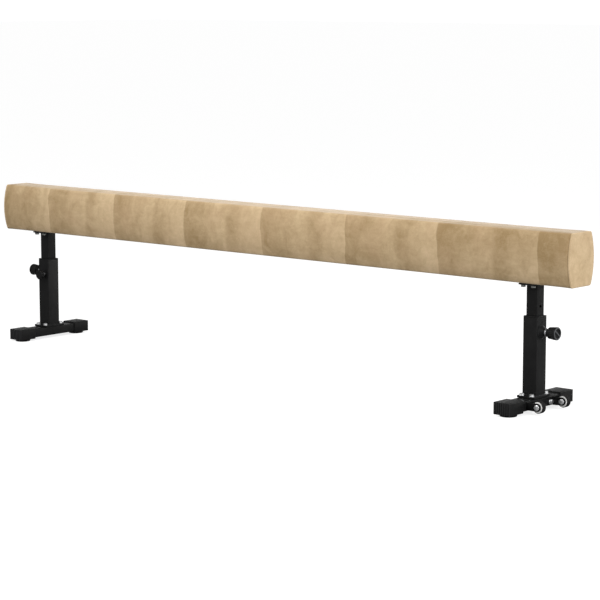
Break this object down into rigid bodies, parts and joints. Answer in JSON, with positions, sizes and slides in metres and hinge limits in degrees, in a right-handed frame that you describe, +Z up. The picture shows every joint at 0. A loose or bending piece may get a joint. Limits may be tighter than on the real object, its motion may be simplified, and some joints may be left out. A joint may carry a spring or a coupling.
{
  "type": "balance beam",
  "caption": "Floor practice balance beam: padded suede-covered beam with a convex-sided section on telescopic stands with pull pins, clamping knobs and transport wheels.",
  "frame": {"origin": "on the floor under the middle of the beam", "axes": "+X along the beam towards the stand with wheels, +Z up"},
  "size_m": [2.438, 0.324, 0.542],
  "materials": {
    "suede": "brushed nap, matte",
    "foam": "closed-cell foam",
    "laminated_wood": "planed",
    "powder_coat": "satin black powder coat",
    "black_plastic": "fine moulded texture",
    "black_rubber": "matte",
    "white_nylon": "moulded white nylon",
    "zinc_steel": "bright zinc plate",
    "spring_steel": "oiled"
  },
  "bodies": {
    "left_stand": {"outer_post_left": "powder_coat", "guide_bushing_left": "black_plastic", "base_bar_left": "powder_coat", "end_cap_left_front": "black_plastic", "end_cap_left_rear": "black_plastic", "foot_pad_left_front": "black_rubber", "foot_pad_left_rear": "black_rubber", "base_bolt_left_1": "zinc_steel", "base_bolt_left_2": "zinc_steel", "base_bolt_left_3": "zinc_steel", "base_bolt_left_4": "zinc_steel", "pin_barrel_left": "zinc_steel", "pin_spring_left": "spring_steel", "clamp_nut_left": "zinc_steel"},
    "beam": {"wood_core": "laminated_wood", "foam_padding": "foam", "suede_cover": "suede", "end_panel_left": "suede", "end_panel_right": "suede", "inner_post_left": "powder_coat", "glide_plug_left": "black_plastic", "beam_bolt_left_1": "zinc_steel", "beam_bolt_left_2": "zinc_steel", "beam_bolt_left_3": "zinc_steel", "beam_bolt_left_4": "zinc_steel", "inner_post_right": "powder_coat", "glide_plug_right": "black_plastic", "beam_bolt_right_1": "zinc_steel", "beam_bolt_right_2": "zinc_steel", "beam_bolt_right_3": "zinc_steel", "beam_bolt_right_4": "zinc_steel"},
    "right_stand": {"outer_post_right": "powder_coat", "guide_bushing_right": "black_plastic", "base_bar_right": "powder_coat", "end_cap_right_front": "black_plastic", "end_cap_right_rear": "black_plastic", "foot_pad_right_front": "black_rubber", "foot_pad_right_rear": "black_rubber", "base_bolt_right_1": "zinc_steel", "base_bolt_right_2": "zinc_steel", "base_bolt_right_3": "zinc_steel", "base_bolt_right_4": "zinc_steel", "pin_barrel_right": "zinc_steel", "pin_spring_right": "spring_steel", "clamp_nut_right": "zinc_steel", "wheel_bracket": "powder_coat", "bracket_bolt_front": "zinc_steel", "bracket_bolt_rear": "zinc_steel", "axle_bolt_front": "zinc_steel", "axle_bolt_rear": "zinc_steel"},
    "pull_pin_left": {"pin_plunger_left": "zinc_steel", "pull_knob_left": "black_plastic"},
    "pull_pin_right": {"pin_plunger_right": "zinc_steel", "pull_knob_right": "black_plastic"},
    "clamp_screw_left": {"clamp_knob_left": "black_plastic"},
    "clamp_screw_right": {"clamp_knob_right": "black_plastic"},
    "wheel_front": {"wheel_tyre_front": "black_rubber", "wheel_hub_front": "white_nylon"},
    "wheel_rear": {"wheel_tyre_rear": "black_rubber", "wheel_hub_rear": "white_nylon"}
  },
  "joints": [
    {"name": "beam_height", "type": "slide", "parent": "left_stand", "child": "beam", "axis": [0, 0, 1], "range_m": [-0.076, 0.076]},
    {"name": "right_stand_height", "type": "slide", "parent": "beam", "child": "right_stand", "axis": [0, 0, -1], "range_m": [-0.076, 0.076]},
    {"name": "pull_pin_left_slide", "type": "slide", "parent": "left_stand", "child": "pull_pin_left", "axis": [1, 0, 0], "range_m": [0, 0.008]},
    {"name": "pull_pin_right_slide", "type": "slide", "parent": "right_stand", "child": "pull_pin_right", "axis": [-1, 0, 0], "range_m": [0, 0.008]},
    {"name": "clamp_screw_left_turn", "type": "hinge", "parent": "left_stand", "child": "clamp_screw_left", "pos_m": [-1.058, -0.042, 0.228], "axis": [0, -1, 0], "range_deg": [0, 360]},
    {"name": "clamp_screw_right_turn", "type": "hinge", "parent": "right_stand", "child": "clamp_screw_right", "pos_m": [1.058, 0.042, 0.228], "axis": [0, 1, 0], "range_deg": [0, 360]},
    {"name": "wheel_front_spin", "type": "hinge", "parent": "right_stand", "child": "wheel_front", "pos_m": [1.123, -0.064, 0.025], "axis": [0, 1, 0], "continuous": true},
    {"name": "wheel_rear_spin", "type": "hinge", "parent": "right_stand", "child": "wheel_rear", "pos_m": [1.123, 0.064, 0.025], "axis": [0, 1, 0], "continuous": true}
  ],
  "couplings": [
    {"joint": "right_stand_height", "follows": "beam_height", "ratio": 1}
  ]
}
